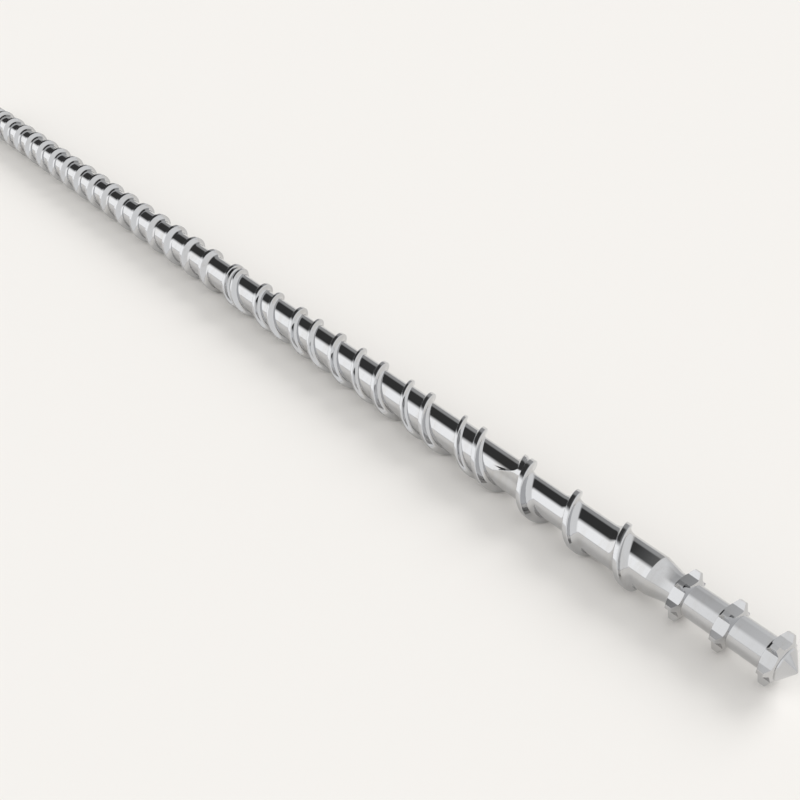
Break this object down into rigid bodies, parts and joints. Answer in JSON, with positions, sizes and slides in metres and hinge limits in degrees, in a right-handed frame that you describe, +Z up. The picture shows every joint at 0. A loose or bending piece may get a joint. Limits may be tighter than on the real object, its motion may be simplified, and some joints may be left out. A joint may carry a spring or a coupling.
{
  "type": "extruder screw",
  "caption": "Long one-piece extruder screw with a keyed plain shank, a single helical flight, a second barrier flight, a shallow metering zone and toothed mixing rings before a conical tip.",
  "frame": {"origin": "centre of the shank's rear face, on the screw's axis", "axes": "+X along the axis from the shank to the tip, +Z up as the screw lies"},
  "size_m": [2.3418, 0.065, 0.065],
  "materials": {
    "steel": "polished"
  },
  "bodies": {
    "root": {"screw": "steel"}
  },
  "joints": []
}
